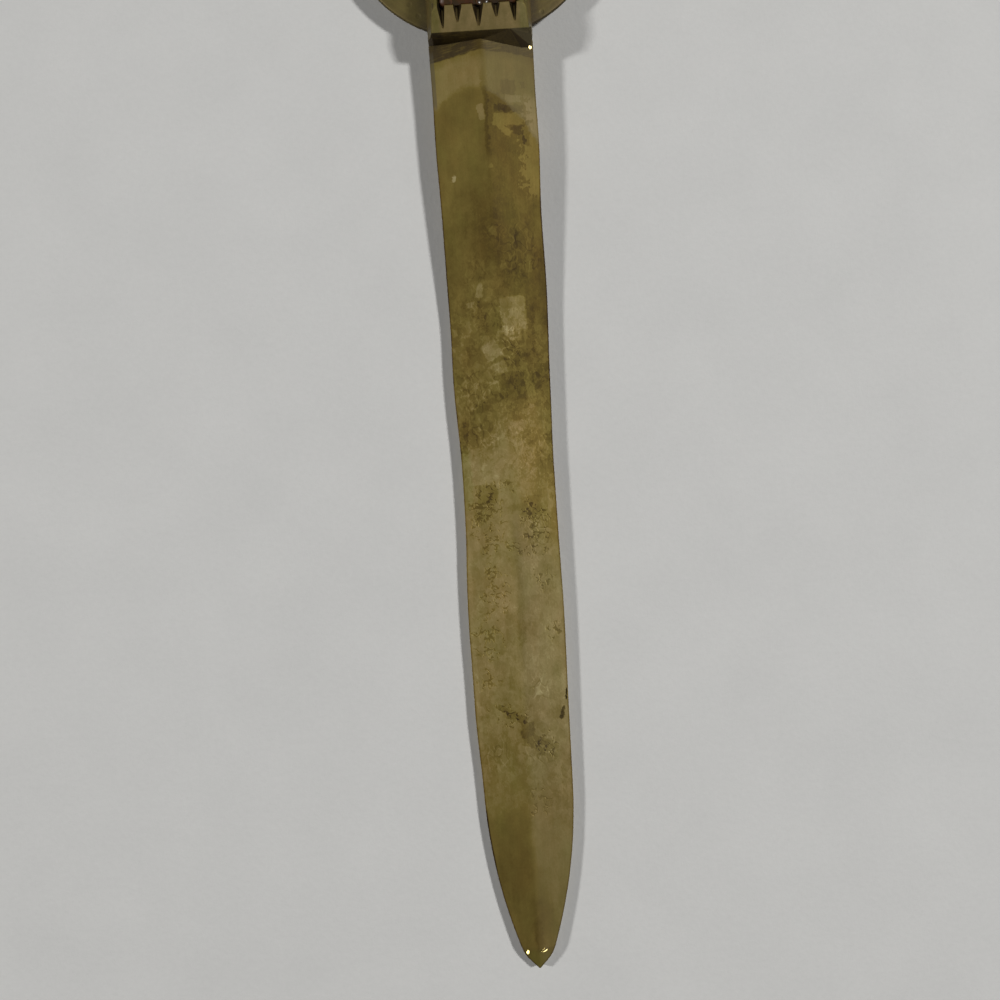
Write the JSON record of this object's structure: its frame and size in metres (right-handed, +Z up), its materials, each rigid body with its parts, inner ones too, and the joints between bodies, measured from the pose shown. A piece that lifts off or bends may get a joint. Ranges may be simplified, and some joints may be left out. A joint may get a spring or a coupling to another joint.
{
  "type": "letter opener",
  "caption": "Flat-backed brass letter opener: a ridged blade with a ground point, and a round handle with a dark stone in a toothed setting.",
  "frame": {"origin": "centre of the handle's flat round back, on the surface that the letter opener lies on", "axes": "+Y along the length, from the blade's tip to the head of the handle; +Z up, out of the stone's side; +X completes the right hand"},
  "size_m": [0.0412, 0.1864, 0.0092],
  "materials": {
    "blade_brass": "satin",
    "setting_brass": "satin",
    "handle_brass": "satin",
    "rivet_brass": "satin",
    "dark_stone": "polished",
    "card": "matte"
  },
  "bodies": {
    "root": {"blade": "blade_brass", "stone_setting": "setting_brass", "stone": "dark_stone", "stone_bed": "card", "handle_disc": "handle_brass", "back_plate": "handle_brass", "lower_rivet": "rivet_brass", "upper_rivet": "rivet_brass"}
  },
  "joints": []
}
